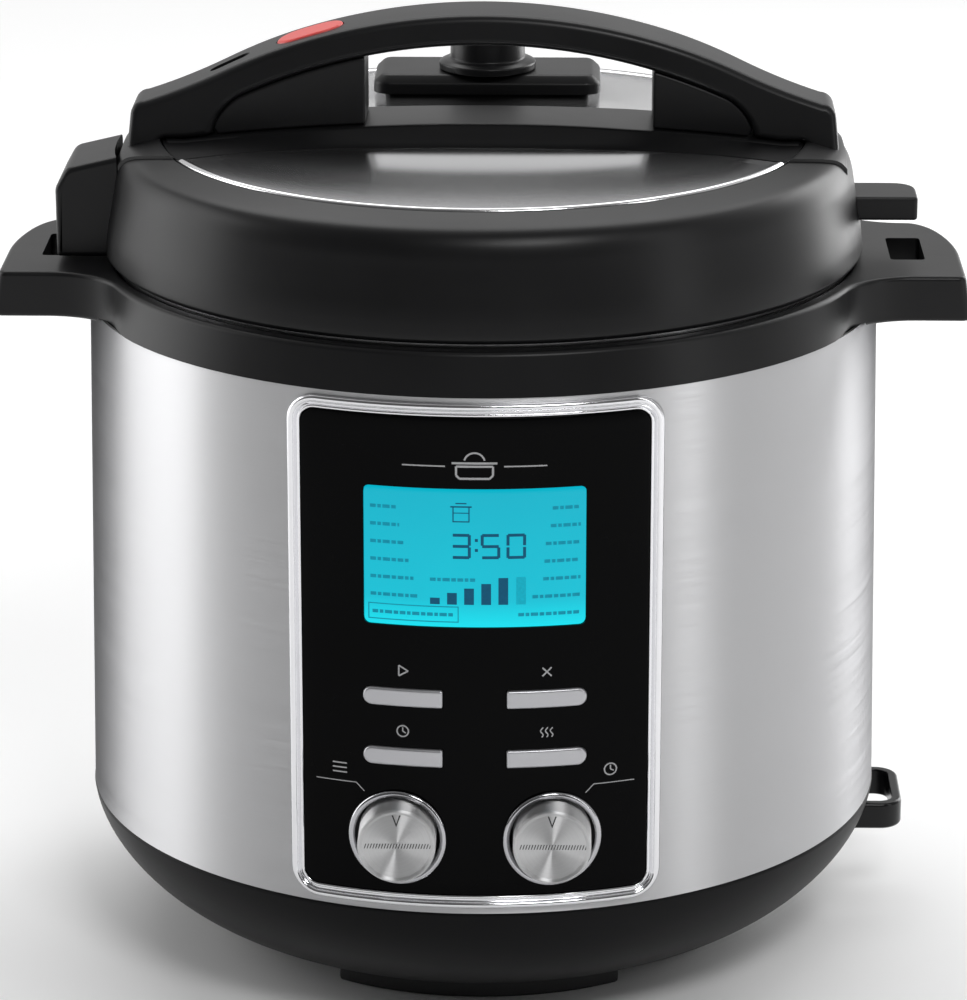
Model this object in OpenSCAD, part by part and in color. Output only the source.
// Electric pressure cooker, six-quart class, with a locking lid and a dial control panel.
// Millimetres. +Z is up, the control panel faces -Y, and the rubber feet stand on z = 0.

/* [Body] */
// Radius of the steel housing at its upper edge
steel_top_r = 138; // [137:0.5:139]
// Radius of the steel housing at its lower edge
steel_bottom_r = 141; // [140:0.5:142]
// Height of the steel housing's lower edge
steel_z0 = 53; // [52:0.5:54]
// Height of the steel housing's upper edge
steel_z1 = 232; // [231:0.5:233]
// Radius of the flat underside of the base bowl
bowl_flat_r = 86; // [82:1:90]
// Height of the rubber feet
foot_h = 7; // [6.8:0.1:8]

/* [Collar] */
// Height of the collar above the steel
collar_h = 14.5; // [14:0.5:15]
// Distance from the axis to the tip of each side handle
ear_tip = 168.5; // [165:0.5:172]
// Half width of each side handle
ear_half_w = 38; // [34:1:40]
// Width of the slot through each side handle
slot_w = 12; // [10:0.5:12]
// Length of the slot through each side handle
slot_l = 30; // [24:1:32]

/* [Control panel] */
// Width of the glossy fascia
fascia_w = 114.6; // [112:0.2:116]
// Height of the glossy fascia
fascia_h = 165.6; // [164:0.2:166]
// Height of the fascia's centre
panel_z = 142.8; // [142:0.2:143]
// Width of the bright frame around the fascia
frame_lip = 4.6; // [4:0.2:5]
// Width of the display window
display_w = 73; // [70:0.5:74]
// Height of the display window
display_h = 47.5; // [46:0.5:48]
// Height of the display window's centre
display_z = 177.8; // [177:0.2:179]
// Width of a push button
button_w = 26.5; // [25:0.5:27]
// Height of a push button
button_h = 6.2; // [6:0.1:7]
// Distance from the centre line to a button's centre
button_x = 23.8; // [23:0.2:25]
// Travel of a push button
button_travel = 1; // [0.5:0.1:1]
// Radius of a dial knob
knob_r = 13; // [12:0.25:13.4]
// Distance from the centre line to a dial's axis
knob_x = 25.8; // [25:0.2:27]
// Height of the dial axes
knob_z = 79.8; // [79:0.2:81]

/* [Pots] */
// Outer radius of the removable inner pot
pot_r = 112; // [111:0.5:113]
// Wall thickness of the removable inner pot
pot_wall = 1.4; // [1.2:0.1:2]
// Height of the inner pot's underside
pot_z0 = 77; // [77:0.5:79]
// Inner radius of the fixed outer pot
outer_pot_r = 115; // [115:0.25:115.5]

/* [Lid] */
// Radius of the lid at its lower edge
lid_r = 132.5; // [132.3:0.1:132.8]
// Radius of the bright steel plate on the lid
plate_r = 111.7; // [110:0.1:111.8]
// Height of the black bridge above the steel plate, at the middle
bridge_rise = 6.8; // [6:0.2:7.4]
// Height of the handle's crown above the feet
crown_z = 331.5; // [330:0.5:332]
// Half length of the lid handle
handle_half_l = 123; // [121:0.5:124]
// Width of the lid handle from front to back
handle_w = 30; // [26:1:32]
// Rise of the float valve under pressure
float_rise = 4; // [3:0.5:5]

/* [Hidden] */
$fn = 96;
e = 0.01;
BLACK = [0.09, 0.09, 0.095];
SOFT_BLACK = [0.16, 0.16, 0.17];
STEEL = [0.78, 0.78, 0.79];
BRIGHT = [0.9, 0.9, 0.92];
BOARD = [0.1, 0.35, 0.2];
SILICONE = [0.86, 0.86, 0.83];

// heights up the stack
collar_z = steel_z1 + collar_h;
ear_z0 = steel_z1 - 1.5;
trench_z = 230;
rim_z = 243;
seal_z0 = rim_z + 2;
inner_lid_z = 252;
lid_z0 = 248;
deck_z = 285;
plate_z = 287.2;
bridge_z = plate_z + bridge_rise;

// radii of the rim, the bayonet and the collar
collar_r0 = steel_bottom_r - 2.5;
collar_r1 = steel_top_r - 2.5;
trench_r = 131.3;
skirt_r = 129.3;
lug_r = 127;
tab_r = 122.6;
lid_turn = 30;
lug_count = 180 / lid_turn;
lug_turn = lid_turn - 2;

// places on the lid
valve_y = 72;
float_x = -88;
release_x = -60;
float_z = inner_lid_z - float_rise - 0.2;
lever_mid = [release_x / 2, valve_y / 2];
lever_angle = atan2(valve_y, -release_x);
lever_z = 276.6;

// the handle's side view: a crown arc that runs into a hollow arc towards each end
crown_r = 214;
crown_turn = 24.8;
hollow_r = 250;
grip_t = 10.4;
leg_left = -40.5;
leg_right = 58.7;

// the bridge's upper side is a shallow arc across the lid
bridge_r = 900;

// outlines of the control panel's holes, each from its own centre
left_right = [-1, 1];
button_rows = [129.1, 108.3];
board_y = -124;

// ---------- shared shapes ----------

// radius of the steel's outer face at height z
function body_r(z) =
    steel_bottom_r + (steel_top_r - steel_bottom_r) * (z - steel_z0) / (steel_z1 - steel_z0);

// height of the bridge's upper side at distance x from the middle
function bridge_top(x) = bridge_z - bridge_r + sqrt(bridge_r * bridge_r - x * x);

module at_z(z) translate([0, 0, z]) children();

module tube(r_out, r_in, z0, h) {
    difference() {
        at_z(z0) cylinder(h = h, r = r_out);
        at_z(z0 - 1) cylinder(h = h + 2, r = r_in);
    }
}

// a piece of the tapered body's skin between two offsets from the steel's outer face
module skin(d0, d1, z0, z1) {
    difference() {
        at_z(z0) cylinder(h = z1 - z0, r1 = body_r(z0) + d1, r2 = body_r(z1) + d1);
        at_z(z0 - 1) cylinder(h = z1 - z0 + 2, r1 = body_r(z0 - 1) + d0, r2 = body_r(z1 + 1) + d0);
    }
}

module rounded_rect(w, h, r) {
    square([w - 2 * r, h], center = true);
    square([w, h - 2 * r], center = true);
    for (x = [-1, 1], y = [-1, 1])
        translate([x * (w / 2 - r), y * (h / 2 - r)]) circle(r = r);
}

// extrudes an XZ outline towards the front, from y0 to y1 with y1 nearer the front
module to_front(y0, y1) translate([0, y0, 0]) rotate([90, 0, 0]) linear_extrude(y0 - y1) children();

module front_disc(x, z, r, y0, y1) to_front(y0, y1) translate([x, z]) circle(r = r);

// a sector of a ring, from angle a0 over a turn of a
module sector(r0, r1, z0, h, a0, a) {
    rotate([0, 0, a0]) rotate_extrude(angle = a) translate([r0, z0]) square([r1 - r0, h]);
}

module pan_screw(r, l, head_r, head_h) {
    cylinder(h = head_h, r = head_r);
    at_z(head_h - e) cylinder(h = l, r = r);
}

// ---------- base ----------

bowl_power = 2 / 1.65;

// a quarter of a squared-off ellipse from the flat underside up to the steel's lower edge
function bowl_curve(flat_r, top_r, low_z, steps = 14) =
    [for (i = [0:steps]) let (t = 90 * i / steps)
        [flat_r + (top_r - flat_r) * pow(max(sin(t), 0), bowl_power),
         steel_z0 - (steel_z0 - low_z) * pow(max(cos(t), 0), bowl_power)]];

bowl_z = foot_h - 0.4;
bowl_wall = 2.8;
hatch_r = 66;

module bowl_solid(inset) {
    rotate_extrude()
        polygon(concat([[0, bowl_z + inset]],
            bowl_curve(bowl_flat_r - inset / 2, steel_bottom_r + 0.2 - inset, bowl_z + inset),
            [[0, steel_z0]]));
}

inlet_z = 31;
inlet_y = 139.5;
board_z = 24;
board_posts = [for (x = left_right, y = [-100, -69]) [46 * x, y]];
post_r = 54;

module base_shell() {
    color(BLACK) difference() {
        union() {
            difference() {
                bowl_solid(0);
                difference() {
                    bowl_solid(bowl_wall);
                    for (p = board_posts) translate([p[0], p[1], 0]) cylinder(h = board_z, r = 4);
                }
            }
            tube(139.6, 137.2, steel_z0 - e, 5);
            translate([-18, 106, 17]) cube([36, inlet_y - 106, 28]);
        }
        at_z(0) cylinder(h = 20, r = hatch_r);
        translate([-14.2, 100, inlet_z - 10.2]) cube([28.4, 40, 20.4]);
    }
}

module bottom_cover() {
    color(SOFT_BLACK) difference() {
        union() {
            tube(hatch_r - 0.2, 0, bowl_z + 0.4, 2);
            tube(hatch_r + 4, hatch_r - 6, bowl_z + bowl_wall + 0.1, 1.6);
            tube(hatch_r - 2, hatch_r - 4, bowl_z + 2, 2.6);
        }
        for (a = [0:90:270], k = [0:4])
            rotate([0, 0, a + 45]) translate([20 + 8 * k, -14, 0]) cube([3, 28, 20]);
        for (a = [0:90:270]) rotate([0, 0, a]) translate([post_r, 0, 0]) cylinder(h = 20, r = 1.7);
    }
}

// four curved pads under the bowl
module feet() {
    color([0.07, 0.07, 0.07]) for (a = [0:90:270]) difference() {
        union() {
            sector(73, 92, 2, 6.4, a - 33, 66);
            sector(74.5, 90.5, 0, 2 + e, a - 31.5, 63);
        }
        bowl_solid(0);
    }
}

module base_screws() {
    color(STEEL) for (a = [0:90:270]) rotate([0, 0, a]) translate([post_r, 0, bowl_z - 1.2]) pan_screw(1.4, 10, 3, 1.6);
}

module steel_housing() {
    color(STEEL) difference() {
        skin(-1, 0, steel_z0, steel_z1);
        to_front(-100, -150) translate([0, panel_z]) rounded_rect(fascia_w + 3.4, fascia_h + 3.4, 6);
        for (x = left_right) translate([x * 22, 150, 210]) rotate([90, 0, 0]) cylinder(h = 20, r = 1.7);
    }
}

// a blend of radius f between a circle of radius r and a straight edge at y = h
module ear_blend(r, h, f) {
    cx = sqrt((r + f) * (r + f) - (h + f) * (h + f));
    k = r / (r + f);
    difference() {
        polygon([[cx * k * 0.9, h - 5], [cx, h - 5], [cx, h], [cx, h + f], [cx * k, (h + f) * k],
            [cx * k * 0.9, (h + f) * k * 0.9]]);
        translate([cx, h + f]) circle(r = f);
    }
}

// a side handle from above: a crisp front corner and a long, swept rear one
module ear_outline() {
    front = 3;
    rear_x = ear_tip - 18.5;
    rear_y = ear_half_w - 44;
    difference() {
        polygon(concat([[90, -ear_half_w]],
            [for (a = [0:30:90]) [ear_tip - front + front * sin(a), front - ear_half_w - front * cos(a)]],
            [for (a = [0:6:90]) [rear_x + 18.5 * cos(a), rear_y + 44 * sin(a)]], [[90, ear_half_w]]));
        circle(r = collar_r1 - 2);
    }
    for (m = [0, 1]) mirror([0, m]) ear_blend(collar_r1, ear_half_w, 28);
}

module collar() {
    color(BLACK) difference() {
        union() {
            rotate_extrude() polygon([[117.2, 228], [136.5, 228], [136.5, steel_z1], [collar_r0, steel_z1],
                [collar_r1 + 0.3, collar_z - 1.2], [collar_r1 - 0.9, collar_z], [trench_r, collar_z],
                [trench_r, trench_z], [119.6, trench_z], [119.6, rim_z - 3],
                [117.2, rim_z - 3]]);
            for (m = [0, 1]) mirror([m, 0, 0]) difference() {
                at_z(ear_z0) linear_extrude(collar_z - ear_z0) ear_outline();
                at_z(ear_z0 - 1) cylinder(h = collar_z, r = 133);
                at_z(ear_z0 - 1) cylinder(h = steel_z1 - ear_z0 + 1, r = 139.4);
            }
        }
        for (x = left_right) translate([x * 147.8 - slot_w / 2, -slot_l / 2, 200]) cube([slot_w, slot_l, 80]);
        for (a = [45:90:315]) rotate([0, 0, a]) translate([124, 0, 220]) cylinder(h = 20, r = 1.7);
    }
}

module collar_screws() {
    color(STEEL) for (a = [45:90:315]) rotate([0, 0, a]) translate([124, 0, trench_z + 1.6])
        rotate([180, 0, 0]) pan_screw(1.5, 10, 2.8, 1.6);
}

module spoon_holder() {
    color(BLACK) difference() {
        at_z(30.5) linear_extrude(10) difference() {
            translate([137, 11]) rounded_rect(31, 38, 8);
            translate([137, 11]) rounded_rect(24, 31, 5);
        }
        bowl_solid(0);
    }
}

// ---------- control panel ----------

module panel_outline(grow, r) translate([0, panel_z]) rounded_rect(fascia_w + grow, fascia_h + grow, r);

module panel_frame() {
    color(BRIGHT) difference() {
        union() {
            intersection() {
                skin(0.1, 1.9, 50, 231);
                to_front(-90, -150) panel_outline(2 * frame_lip, 8);
            }
            intersection() {
                skin(-2.2, 0.2, 50, 231);
                to_front(-90, -150) panel_outline(3, 6);
            }
        }
        to_front(-80, -160) panel_outline(0.4, 5.2);
    }
}

// a push button's outline, round at its outer end; side is -1 for the left column
module button_outline(side, z, grow) {
    r = (button_h + grow) / 2;
    translate([side * button_x, z]) {
        square([button_w + grow - 2 * r, 2 * r], center = true);
        translate([side * (button_w / 2 + grow / 2 - r), 0]) circle(r = r);
        translate([-side * (button_w / 2 + grow / 2 - r) - r, -r]) square(2 * r);
    }
}

module panel_holes(grow) {
    translate([0, display_z]) rounded_rect(display_w + grow, display_h + grow, 2);
    for (s = left_right, z = button_rows) button_outline(s, z, 0.5 + grow);
    for (s = left_right) translate([s * knob_x, knob_z]) circle(r = 15.4 + grow / 2);
}

module fascia() {
    color([0.02, 0.02, 0.02]) difference() {
        intersection() {
            skin(-2, 0.9, 50, 231);
            to_front(-90, -150) panel_outline(0, 5);
        }
        to_front(-80, -160) panel_holes(0);
    }
}

module panel_carrier() {
    color(SOFT_BLACK) difference() {
        union() {
            intersection() {
                skin(-6.5, -4.8, 58, 227);
                to_front(-90, -150) panel_outline(-1, 5);
            }
            for (s = left_right, z = [74, 212]) front_disc(s * 38, z, 3, board_y, -129.3);
            for (s = left_right, z = [90, 200]) intersection() {
                skin(-5, -2.1, 58, 227);
                to_front(-90, -150) translate([s * 52, z]) square([5, 16], center = true);
            }
        }
        to_front(-80, -160) translate([0, display_z]) square([display_w + 3, display_h + 3], center = true);
        for (s = left_right, z = button_rows) front_disc(s * button_x, z, 3.2, -80, -160);
        for (s = left_right) front_disc(s * knob_x, knob_z, 15.6, -80, -160);
    }
}

module display_window() {
    color([0, 0.75, 0.85]) intersection() {
        skin(-2, 0.7, 50, 231);
        to_front(-90, -150) translate([0, display_z]) rounded_rect(display_w - 0.3, display_h - 0.3, 2);
    }
}

module display_module() {
    color([0.85, 0.85, 0.88]) translate([-34, -131, display_z - 22.5]) cube([68, 7, 45]);
}

module control_board() {
    color(BOARD) difference() {
        translate([-42, board_y, 66]) cube([84, 1.6, 152]);
        for (s = left_right, z = [74, 212]) front_disc(s * 38, z, 1.5, -80, -160);
    }
}

module tact_switches() {
    color([0.2, 0.2, 0.2]) for (s = left_right, z = button_rows) {
        translate([s * button_x - 3, board_y - 2.4, z - 3]) cube([6, 2.4, 6]);
        front_disc(s * button_x, z, 1.6, board_y - 2.4, board_y - 3.4);
    }
}

module dial_bezels() {
    color(BRIGHT) for (s = left_right) difference() {
        union() {
            intersection() {
                skin(0.9, 2.6, 50, 120);
                front_disc(s * knob_x, knob_z, 16.5, -80, -160);
            }
            intersection() {
                skin(-20, 1.2, 50, 120);
                front_disc(s * knob_x, knob_z, 15.2, -130, -160);
            }
        }
        front_disc(s * knob_x, knob_z, 14.2, -131.5, -160);
        front_disc(s * knob_x, knob_z, 4, -80, -160);
    }
}

module dial_encoders() {
    color([0.55, 0.56, 0.58]) for (s = left_right) difference() {
        union() {
            translate([s * knob_x - 6.5, board_y - 5, knob_z - 6.5]) cube([13, 5, 13]);
            front_disc(s * knob_x, knob_z, 3.6, board_y - 4, -133.5);
        }
        front_disc(s * knob_x, knob_z, 3.05, -125.4, -140);
    }
}

// the cap sits proud of the fascia, its flange stays behind it and its stem reaches for the switch
module push_button(side, z) {
    color([0.7, 0.7, 0.72]) {
        intersection() {
            skin(-2.6, 1.9, 90, 140);
            to_front(-90, -150) button_outline(side, z, 0);
        }
        intersection() {
            skin(-3.4, -2.5, 90, 140);
            to_front(-90, -150) button_outline(side, z, 2.4);
        }
        intersection() {
            front_disc(side * button_x, z, 2.6, board_y - 3.8 - button_travel, -150);
            at_z(90) cylinder(h = 50, r = body_r(110) - 2.8);
        }
    }
}

module start_button() push_button(-1, button_rows[0]);
module delay_button() push_button(-1, button_rows[1]);
module cancel_button() push_button(1, button_rows[0]);
module warm_button() push_button(1, button_rows[1]);

knob_front = -148;

module dial_knob(side) {
    color(STEEL) translate([side * knob_x, 0, knob_z]) rotate([90, 0, 0]) {
        rotate_extrude() polygon([[0, 134.4], [4.6, 134.4], [4.6, 143.5], [11.4, 143.5], [11.4, 133.2],
            [knob_r, 133.2], [knob_r, -knob_front - 0.8], [knob_r - 0.8, -knob_front],
            [knob_r - 1.4, -knob_front], [knob_r - 1.8, -knob_front - 0.4], [0, -knob_front - 0.4]]);
        at_z(125.8) cylinder(h = 16.2, r = 3);
    }
}

module menu_knob() dial_knob(-1);
module timer_knob() dial_knob(1);

// ---------- pots and heating ----------

module outer_pot() {
    w = 1.2;
    color([0.72, 0.73, 0.74]) difference() {
        union() {
            tube(outer_pot_r + w, outer_pot_r, 60, rim_z - 60);
            tube(outer_pot_r + w, 34, 60, 1.6);
            tube(122, outer_pot_r, rim_z - 3, 3);
            for (i = [0:lug_count - 1])
                sector(121, lug_r, rim_z - 3, 3, i * 360 / lug_count - lug_turn / 2, lug_turn);
        }
        for (a = [30:120:270]) rotate([0, 0, a]) translate([75, 0, 50]) cylinder(h = 20, r = 2.6);
    }
}

module heating_plate() {
    color([0.75, 0.75, 0.76]) difference() {
        rotate_extrude() polygon([[10, 66], [96, 66], [98, 68], [98, 74], [95, 76], [40, pot_z0 - 0.3],
            [10, pot_z0 - 0.3]]);
        rotate_extrude() translate([72, 66]) circle(r = 4.2);
    }
}

// a bent tube heater pressed into the groove under the plate
module heating_element() {
    color([0.5, 0.5, 0.52]) rotate([0, 0, 100]) rotate_extrude(angle = 340)
        translate([72, 66]) circle(r = 4.1, $fn = 48);
}

module plate_posts() {
    color(STEEL) for (a = [30:120:270]) rotate([0, 0, a]) translate([75 + 12, 0, 61.6])
        cylinder(h = 4.4, r = 4);
}

module spring_plate() {
    color([0.62, 0.63, 0.66]) difference() {
        union() {
            tube(64, 5.8, 57.4, 1.2);
            for (a = [0:90:270]) rotate([0, 0, a]) translate([post_r, 0, bowl_z + 2.4])
                cylinder(h = 55.1 - bowl_z, r = 4);
            tube(40, 34.2, 57.4, 2.6);
            tube(7.2, 5.8, 42, 15.5);
            tube(7.2, 3.2, 42, 2);
        }
        for (a = [0:90:270]) rotate([0, 0, a]) translate([post_r, 0, 8]) cylinder(h = 12, r = 1.5);
    }
}

module pressure_switch() {
    color([0.85, 0.83, 0.78]) {
        translate([14, -8, 48]) cube([20, 16, 9.4]);
        translate([24, 0, 45.6]) cylinder(h = 2.5, r = 2);
    }
}

module power_board() {
    color(BOARD) difference() {
        translate([-52, -106, board_z]) cube([104, 43, 1.6]);
        for (p = board_posts) translate([p[0], p[1], 20]) cylinder(h = 10, r = 1.6);
    }
    color([0.1, 0.1, 0.12]) {
        translate([-40, -96, board_z + 1.5]) cube([30, 24, 18]);
        translate([8, -84, board_z + 1.5]) cylinder(h = 22, r = 9);
        translate([24, -96, board_z + 1.5]) cube([14, 18, 15]);
    }
}

// a recessed three-pin socket, open to the back
module power_inlet() {
    color([0.06, 0.06, 0.06]) difference() {
        union() {
            translate([-14, 108, inlet_z - 10]) cube([28, inlet_y - 107, 20]);
            translate([-15.8, inlet_y, inlet_z - 12]) cube([31.6, 2, 24]);
        }
        translate([-11.8, 118, inlet_z - 7.8]) cube([23.6, 40, 15.6]);
    }
    color(STEEL) for (p = [[-7, -1.5], [7, -1.5], [0, 2.5]])
        translate([p[0] - 1, 112, inlet_z + p[1] - 2]) cube([2, 18, 4]);
}

module thermal_sensor() {
    color([0.8, 0.8, 0.8]) {
        at_z(68) cylinder(h = pot_z0 - 0.3 - 68, r = 9.2);
        at_z(40.6) cylinder(h = 27.5, r = 3);
        at_z(58) cylinder(h = 1.2, r = 5.6);
    }
}

// the spring that holds the sensor up against the pot
module sensor_spring() {
    color(STEEL) tube(5.4, 4, 44, 14);
}

module inner_pot() {
    corner = 12;
    bowl_in = corner - pot_wall;
    color(BRIGHT) rotate_extrude() difference() {
        union() {
            translate([0, pot_z0]) square([pot_r - corner, corner]);
            translate([0, pot_z0 + corner]) square([pot_r, rim_z + 0.2 - pot_z0 - corner]);
            translate([pot_r - corner, pot_z0 + corner]) intersection() {
                circle(r = corner);
                translate([0, -corner]) square(corner);
            }
            translate([pot_r - 1, rim_z + 0.1]) square([7, 1.7]);
        }
        translate([0, pot_z0 + pot_wall]) square([pot_r - corner, corner]);
        translate([0, pot_z0 + corner]) square([pot_r - pot_wall, 200]);
        translate([pot_r - corner, pot_z0 + corner]) intersection() {
            circle(r = bowl_in);
            translate([0, -corner]) square(corner);
        }
    }
}

// ---------- condensation cup ----------

cup_r0 = 142.4;
cup_r1 = 152;
cup_z0 = 176;
cup_h = 46;

module cup_bracket() {
    color(BLACK) {
        intersection() {
            skin(0.05, 1.1, 170, 226);
            translate([-38, 130, 170]) cube([76, 30, 56]);
        }
        for (s = left_right) difference() {
            sector(139.6, 150, cup_z0 - 4, 52, 90 - s * 14 - 1, 2);
            skin(-20, 0.1, 160, 231);
            sector(cup_r0 + 2.6, cup_r0 + 5.4, 160, cup_z0 + cup_h + 0.3 - 160, 90 - 13.8, 27.6);
        }
        for (s = left_right) translate([s * 22, 139, 210]) rotate([90, 0, 0]) cylinder(h = 6, r = 1.5);
    }
}

module condensation_cup() {
    w = 1.8;
    color([0.8, 0.8, 0.82]) difference() {
        union() {
            sector(cup_r0, cup_r1, cup_z0, cup_h, 90 - 12, 24);
            sector(cup_r0 + 3, cup_r0 + 5, cup_z0 + 10, cup_h - 10, 90 - 13.4, 26.8);
        }
        sector(cup_r0 + w - 0.4, cup_r1 - w, cup_z0 + w, cup_h, 90 - 11.2, 22.4);
    }
}

// ---------- lid ----------

module sealing_ring() {
    color(SILICONE) rotate_extrude() difference() {
        translate([111, seal_z0]) square([7, inner_lid_z - seal_z0]);
        translate([112.6, seal_z0 + 2.2]) square([8, 2.4]);
    }
}

// the wire rack that holds the sealing ring under the inner lid
module seal_rack() {
    color(BRIGHT) {
        rotate_extrude() translate([108.6, 249.4]) circle(r = 1.4);
        for (a = [0:60:300]) rotate([0, 0, a]) translate([108.6, 0, 249.4]) cylinder(h = 2.6, r = 1.2);
    }
}

module inner_lid() {
    color(STEEL) difference() {
        union() {
            tube(skirt_r, 0, inner_lid_z, 1.6);
            tube(skirt_r, skirt_r - 1.4, 235.5, inner_lid_z - 235.5 + 1);
            for (i = [0:lug_count - 1])
                sector(tab_r, skirt_r - 1, 235.5, 3, i * 360 / lug_count - lug_turn / 2, lug_turn);
        }
        translate([0, valve_y, 240]) cylinder(h = 20, r = 4);
        translate([float_x, 0, 240]) cylinder(h = 20, r = 3.1);
        for (a = [45:90:315]) rotate([0, 0, a]) translate([95, 0, 240]) cylinder(h = 20, r = 2.1);
    }
}

module lid_posts() {
    color(SOFT_BLACK) for (a = [45:90:315]) rotate([0, 0, a]) translate([95, 0, 253.6]) difference() {
        cylinder(h = 28.8, r = 5);
        at_z(-1) cylinder(h = 16, r = 2);
    }
}

module lid_screws() {
    color(STEEL) for (a = [45:90:315]) rotate([0, 0, a]) translate([95, 0, 250.2])
        pan_screw(1.95, 12, 3.6, 1.8);
}

// round holes for the pipe, the float valve and the release button's stem
module lid_holes(z0, h) {
    translate([0, valve_y, z0]) cylinder(h = h, r = 8.4);
    translate([float_x, 0, z0]) cylinder(h = h, r = 3.4);
    translate([release_x, 0, z0]) cylinder(h = h, r = 3.4);
}

lid_outer = [[lid_r, lid_z0], [lid_r - 0.3, 254], [130.8, 263], [129.2, 272], [128.3, 277], [126.8, 280.8],
    [124.2, 283.6], [113, plate_z]];
lid_inner = [[plate_r + 0.3, plate_z], [plate_r + 0.3, deck_z], [0, deck_z], [0, 282.5], [110, 282.5],
    [120, 280.6], [124.2, 277.6], [126.2, 271], [130, 254], [130.1, lid_z0]];

// the tall fin beyond the left end of the handle
module lid_fin() {
    translate([0, 14, 0]) rotate([90, 0, 0]) linear_extrude(38)
        polygon([[-120, lid_z0], [-147.5, lid_z0], [-147.5, 271], [-145.5, 276], [-141, 280], [-120, 284.4]]);
}

module lid_cover() {
    color(BLACK) difference() {
        union() {
            rotate_extrude() polygon(concat(lid_outer, lid_inner));
            difference() {
                union() {
                    lid_fin();
                    at_z(259.6) linear_extrude(8.4) {
                        translate([125, -12]) square([26, 14]);
                        translate([125, -12]) square([18, 22]);
                        translate([143, 2]) circle(r = 8);
                    }
                }
                at_z(240) cylinder(h = 60, r = 127.4);
                at_z(240) cylinder(h = 22, r = 131);
            }
        }
        lid_holes(270, 30);
    }
}

module lid_plate() {
    color(BRIGHT) difference() {
        rotate_extrude() polygon([[0, deck_z], [plate_r, deck_z], [plate_r, plate_z - 0.4],
            [plate_r - 0.7, plate_z + 0.6], [plate_r - 2, plate_z + 0.8], [plate_r - 3.2, plate_z],
            [0, plate_z]]);
        lid_holes(270, 30);
        for (s = left_right) translate([s * 108 - 14, -45, plate_z]) cube([28, 90, 5]);
    }
}

// the bridge: an arched black band under the handle, with flanks that run out on to the plate
bridge_foot_y = 22;
bridge_top_y = 16;

function bridge_foot(x) = bridge_foot_y + 0.0008 * x * x + 1.05 * pow(x / 56.2, 4);

function bridge_section(x) =
    let (z = max(bridge_top(x), plate_z + 0.9))
    [[x, -bridge_foot(x), plate_z], [x, bridge_foot(x), plate_z], [x, bridge_foot(x), plate_z + 0.2],
     [x, bridge_top_y + 2, z - 0.2], [x, bridge_top_y - 1, z], [x, -bridge_top_y + 1, z],
     [x, -bridge_top_y - 2, z - 0.2], [x, -bridge_foot(x), plate_z + 0.2]];

// skins a closed solid over a row of sections with the same count of points
module loft(sections) {
    n = len(sections[0]);
    m = len(sections);
    polyhedron(
        points = [for (s = sections) each s],
        faces = concat([[for (j = [0:n - 1]) j]], [[for (j = [n - 1:-1:0]) (m - 1) * n + j]],
            [for (i = [0:m - 2], j = [0:n - 1]) let (k = (j + 1) % n)
                each [[i * n + j, (i + 1) * n + j, (i + 1) * n + k], [i * n + j, (i + 1) * n + k, i * n + k]]]));
}

module lid_bridge() {
    color(BLACK) difference() {
        intersection() {
            loft([for (x = [-112:8:112]) bridge_section(x)]);
            at_z(plate_z - 1) cylinder(h = 20, r = plate_r - 0.1);
        }
        lid_holes(280, 30);
    }
}

// height of the handle's upper side at distance x from the middle
function handle_top(x) =
    let (turn_x = crown_r * sin(crown_turn), turn_z = crown_z - crown_r * (1 - cos(crown_turn)))
    abs(x) <= turn_x ? crown_z - crown_r + sqrt(crown_r * crown_r - x * x) :
    let (cx = turn_x + hollow_r * sin(crown_turn), cz = turn_z + hollow_r * cos(crown_turn))
    cz - sqrt(hollow_r * hollow_r - pow(abs(x) - cx, 2));

function grip_under(x) = crown_z - crown_r + sqrt(pow(crown_r - grip_t, 2) - x * x);

// height of the lid's surface under the handle, with a little clearance
function lid_top(x) = abs(x) < 113.5 ? max(bridge_top(x) + 0.1, plate_z + 1) :
    plate_z + 1 - (abs(x) - 113.5) * 0.3;

// underside of the handle: the grip's arc, then an ellipse that turns down into each leg
leg = 93.5;

function leg_under(x) = lid_top(leg) + 24.6 * sqrt(max(1 - pow((abs(x) - 40) / (leg - 40), 2), 0));

module handle_profile() {
    end = handle_half_l;
    polygon(concat(
        [for (x = [-end + 3:3:end - 3]) [x, handle_top(x)]],
        [[end - 1.6, handle_top(end - 3) - 1.4], [end - 1, handle_top(end - 3) - 4], [end, 276], [112.6, 276],
         [112.6, lid_top(112.6)], [103, lid_top(103)], [98, lid_top(98)]],
        [for (t = [90:-6:60]) let (x = 40 + (leg - 40) * sin(t)) [x, leg_under(x)]],
        [for (x = [84:-4:-84]) [x, grip_under(x)]],
        [for (t = [60:6:90]) let (x = 40 + (leg - 40) * sin(t)) [-x, leg_under(x)]],
        [[-98, lid_top(98)], [-103, lid_top(103)], [-112.6, lid_top(112.6)], [-112.6, 276], [-end, 276],
         [-end + 1, handle_top(end - 3) - 4], [-end + 1.6, handle_top(end - 3) - 1.4]]));
}

// an upright slug with round ends, long side along X
module oval(x, l, w, z0, h) {
    translate([x, 0, z0]) linear_extrude(h) {
        square([l - w, w], center = true);
        for (s = left_right) translate([s * (l - w) / 2, 0]) circle(r = w / 2);
    }
}

button_l = 23;
button_d = 15;
well_l = button_l + 2.4;
well_d = button_d + 2.4;

// thin pads that carry the handle's ends over the lid's shoulder
module handle_pads() {
    intersection() {
        rotate_extrude() polygon(concat([[112.6, plate_z], [112.6, plate_z + 1]],
            [for (i = [len(lid_outer) - 1:-1:3]) lid_outer[i] + [0.6, 1]],
            [for (i = [3:len(lid_outer) - 1]) lid_outer[i]]));
        at_z(270) linear_extrude(30) for (m = [0, 1]) mirror([m, 0])
            polygon([[100, -45], [125.4, -25], [125.4, 25], [100, 45]]);
    }
}

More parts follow.
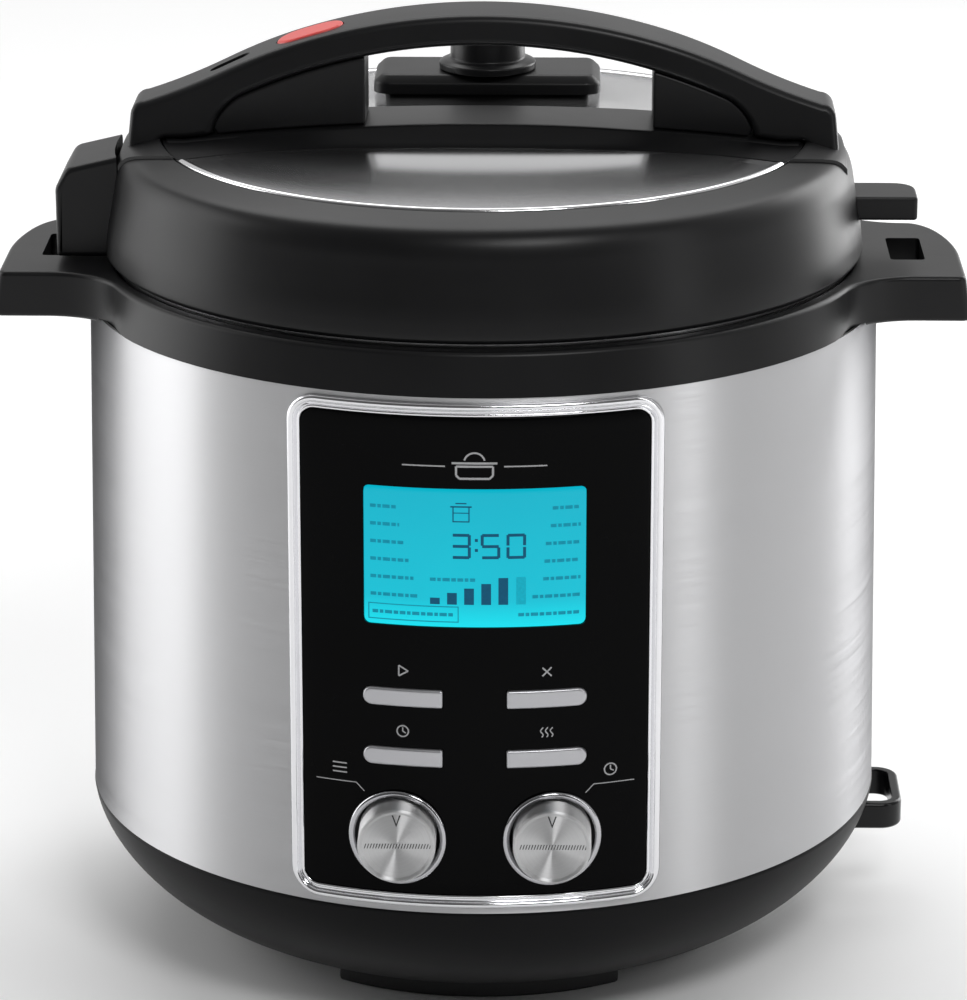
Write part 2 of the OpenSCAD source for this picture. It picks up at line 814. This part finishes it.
module lid_handle() {
    color(SOFT_BLACK) difference() {
        union() {
            difference() {
                translate([0, handle_w / 2, 0]) rotate([90, 0, 0]) linear_extrude(handle_w) handle_profile();
                for (m = [0, 1], k = [0, 1]) mirror([m, 0, 0]) mirror([0, k, 0])
                    translate([62, handle_w / 2, 322]) rotate([16.6, 0, -10.2]) translate([-20, 0, -60])
                        cube([120, 20, 120]);
            }
            handle_pads();
        }
        rotate_extrude() polygon(concat([[0, lid_z0]], [for (p = lid_outer) p + [0.1, 0.1]], [[0, plate_z + 0.1]]));
        oval(release_x, button_l + 0.6, button_d + 0.6, 290, 60);
        oval(release_x, well_l, well_d, 290, 22);
        oval(float_x, 14, 6, 285, 50);
        translate([float_x, 0, 280]) cylinder(h = 29, r = 6);
    }
}

// what the space under the grip holds: the leg covers, between x0 and x1
module leg_fill(x0, x1) {
    polygon(concat([for (x = [x0:(x1 - x0) / 12:x1 + e]) [x, min(grip_under(x), leg_under(x) + 4) - 0.1]],
        [for (x = [x1:-(x1 - x0) / 12:x0 - e]) [x, lid_top(x)]]));
}

module leg_cover_left() {
    wall = 2;
    side = handle_w - 3;
    color(BLACK) difference() {
        translate([0, side / 2, 0]) rotate([90, 0, 0]) linear_extrude(side) difference() {
            leg_fill(-92, leg_left);
            handle_profile();
        }
        translate([0, side / 2 - wall, 0]) rotate([90, 0, 0]) linear_extrude(side - 2 * wall)
            polygon([[-81, 280], [leg_left - wall, 280], [leg_left - wall, 299], [-76, 299]]);
        translate([0, side / 2 - wall, 0]) rotate([90, 0, 0]) linear_extrude(side - 2 * wall)
            polygon([[-77, 301], [leg_left - wall, 301], [leg_left - wall, 330], [-77, 330]]);
        translate([release_x, 0, 280]) cylinder(h = 40, r = 3.2);
        translate([float_x, 0, 280]) cylinder(h = 40, r = 6);
    }
}

module leg_cover_right() {
    wall = 2;
    side = handle_w - 3;
    color(BLACK) difference() {
        translate([0, side / 2, 0]) rotate([90, 0, 0]) linear_extrude(side) difference() {
            leg_fill(leg_right, 92);
            handle_profile();
        }
        translate([0, side / 2 - wall, 0]) rotate([90, 0, 0]) linear_extrude(side - 2 * wall)
            polygon([[leg_right + wall, 280], [81, 280], [76, 302], [leg_right + wall, 306]]);
    }
}

valve_z = plate_z + 7.6;

module valve_housing() {
    color(SOFT_BLACK) difference() {
        translate([0, 75.5, 0]) difference() {
            union() {
                difference() {
                    at_z(plate_z + 1) linear_extrude(6.6) rounded_rect(82, 37, 6);
                    for (s = left_right) {
                        translate([s * 41, 0, valve_z]) rotate([0, 45, 0]) cube([3.6, 60, 3.6], center = true);
                        translate([0, s * 18.5, valve_z]) rotate([45, 0, 0]) cube([100, 3.6, 3.6], center = true);
                    }
                }
                at_z(plate_z) linear_extrude(1.2) rounded_rect(74, 30, 4);
            }
            at_z(plate_z - 1) linear_extrude(6) rounded_rect(66, 22, 3);
        }
        translate([0, valve_y, 280]) cylinder(h = 30, r = 8.4);
    }
}

module exhaust_pipe() {
    color(STEEL) translate([0, valve_y, 0]) difference() {
        union() {
            tube(3.9, 0, 246, 46);
            tube(7, 0, 253.7, 2);
            tube(7, 0, 249, 2.9);
        }
        at_z(240) cylinder(h = 60, r = 2);
    }
}

// the slotted cap that keeps food out of the pipe
module anti_block_cap() {
    color(STEEL) translate([0, valve_y, 0]) difference() {
        tube(11, 7.1, 240, 11.8);
        for (a = [0:30:330]) rotate([0, 0, a]) translate([5, -0.9, 241.5]) cube([8, 1.8, 7]);
    }
    color(STEEL) translate([0, valve_y, 0]) tube(11, 2.5, 239, 1);
}

module lever_bracket() {
    color(STEEL) translate([lever_mid[0], lever_mid[1], 0]) rotate([0, 0, lever_angle]) difference() {
        union() for (s = left_right) translate([-5, s * 5.5 - 1, 268]) cube([10, 2, 14.5]);
        translate([0, 10, lever_z - 3]) rotate([90, 0, 0]) cylinder(h = 20, r = 1.55);
    }
}

// the rocker under the deck: the button presses one end and the other lifts the valve
module release_lever() {
    arm = norm(lever_mid);
    color(STEEL) translate([lever_mid[0], lever_mid[1], 0]) rotate([0, 0, lever_angle]) {
        difference() {
            union() {
                translate([-arm - 4, -4, lever_z - 1]) cube([2 * arm, 8, 2]);
                translate([arm - 8, -8, lever_z - 1]) cube([14, 16, 2]);
            }
            translate([arm, 0, lever_z - 2]) cylinder(h = 4, r = 4.8);
            translate([arm, -4.8, lever_z - 2]) cube([10, 9.6, 4]);
        }
        translate([0, 6.8, lever_z - 3]) rotate([90, 0, 0]) cylinder(h = 13.6, r = 1.5);
        translate([-3, -4, lever_z - 5]) cube([6, 8, 4.1]);
    }
}

module release_button() {
    color([0.85, 0.3, 0.3]) {
        intersection() {
            oval(release_x, button_l, button_d, 311.8, 30);
            translate([0, 20, 0]) rotate([90, 0, 0]) linear_extrude(40)
                polygon(concat([for (x = [-75:3:-45]) [x, handle_top(x) + 0.7]], [[-45, 300], [-75, 300]]));
        }
        oval(release_x, button_l + 2, button_d + 2, 310.4, 1.5);
        translate([release_x, 0, lever_z + 1.4]) cylinder(h = 33, r = 3);
    }
}

module release_spring() {
    color(STEEL) translate([release_x, 0, 0]) tube(5.6, 4.2, 301.1, 9.2);
}

module float_valve() {
    color([0.75, 0.15, 0.15]) translate([float_x, 0, 0]) {
        at_z(float_z) cylinder(h = 302 - float_z, r = 2.8);
        at_z(300) cylinder(h = 4, r = 4.6);
        at_z(float_z - 2) cylinder(h = 2.1, r = 4.6);
    }
}

module float_seal() {
    color(SILICONE) translate([float_x, 0, float_z]) rotate_extrude()
        polygon([[0, -3.4], [5.4, -3.4], [6, -2.8], [6, 0], [4.6, 0], [4.6, -2], [0, -2]]);
}

// the weighted valve: a knob over the pipe's tip, with a pin that the lever lifts
module pressure_valve() {
    color(BLACK) translate([0, valve_y, 0]) difference() {
        union() {
            rotate_extrude() polygon([[0, valve_z + 0.3], [17.5, valve_z + 0.3], [17.5, valve_z + 2.6],
                [16.3, valve_z + 3.4], [13.6, valve_z + 4.2], [13.2, valve_z + 17], [12, valve_z + 18.4],
                [0, valve_z + 18.4]]);
            tube(7, 4.2, lever_z + 1.4, 20);
        }
        at_z(lever_z) cylinder(h = 15.6, r = 4.2);
    }
}

base_shell();
bottom_cover();
feet();
base_screws();
steel_housing();
collar();
collar_screws();
spoon_holder();
panel_frame();
fascia();
panel_carrier();
display_window();
display_module();
control_board();
tact_switches();
dial_bezels();
dial_encoders();
start_button();
delay_button();
cancel_button();
warm_button();
menu_knob();
timer_knob();
outer_pot();
heating_plate();
heating_element();
plate_posts();
spring_plate();
pressure_switch();
power_board();
power_inlet();
thermal_sensor();
sensor_spring();
inner_pot();
cup_bracket();
condensation_cup();
sealing_ring();
seal_rack();
inner_lid();
lid_posts();
lid_screws();
lid_cover();
lid_plate();
lid_bridge();
lid_handle();
leg_cover_left();
leg_cover_right();
valve_housing();
exhaust_pipe();
anti_block_cap();
lever_bracket();
release_lever();
release_button();
release_spring();
float_valve();
float_seal();
pressure_valve();
